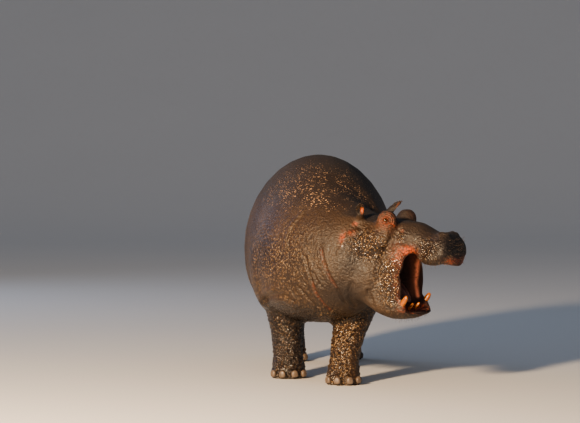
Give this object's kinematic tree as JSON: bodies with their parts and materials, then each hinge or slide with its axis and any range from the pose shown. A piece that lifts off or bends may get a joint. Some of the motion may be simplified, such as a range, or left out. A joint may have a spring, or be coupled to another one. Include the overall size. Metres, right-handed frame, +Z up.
{
  "type": "hippopotamus model",
  "caption": "Life-size still model of a young hippopotamus, standing on four legs with its head turned to its left and its mouth wide open.",
  "frame": {"origin": "on the floor, below the middle of the animal's bounding box", "axes": "+X towards the chest along the trunk, +Y to the animal's left, +Z up"},
  "size_m": [2.333, 1.227, 1.2621],
  "materials": {
    "skin": "wet, wrinkled grey-brown hide with pink patches at the eyes, ears and lips",
    "eye": "glossy dark brown",
    "ivory": "worn yellow ivory, satin",
    "tongue": "moist pink",
    "nail": "dull dark horn"
  },
  "bodies": {
    "root": {"trunk": "skin", "neck": "skin", "head": "skin", "lower_jaw": "skin", "ear_left": "skin", "ear_right": "skin", "tail": "skin", "leg_front_left": "skin", "leg_front_right": "skin", "leg_hind_left": "skin", "leg_hind_right": "skin", "eye_left": "eye", "eye_right": "eye", "lower_tusk_left": "ivory", "lower_incisor_inner_left": "ivory", "lower_incisor_outer_left": "ivory", "upper_canine_left": "ivory", "upper_incisor_inner_left": "ivory", "upper_incisor_outer_left": "ivory", "lower_tusk_right": "ivory", "lower_incisor_inner_right": "ivory", "lower_incisor_outer_right": "ivory", "upper_canine_right": "ivory", "upper_incisor_inner_right": "ivory", "upper_incisor_outer_right": "ivory", "tongue": "tongue", "nail_front_left_1": "nail", "nail_front_left_2": "nail", "nail_front_left_3": "nail", "nail_front_left_4": "nail", "nail_front_right_1": "nail", "nail_front_right_2": "nail", "nail_front_right_3": "nail", "nail_front_right_4": "nail", "nail_hind_left_1": "nail", "nail_hind_left_2": "nail", "nail_hind_left_3": "nail", "nail_hind_left_4": "nail", "nail_hind_right_1": "nail", "nail_hind_right_2": "nail", "nail_hind_right_3": "nail", "nail_hind_right_4": "nail"}
  },
  "joints": []
}
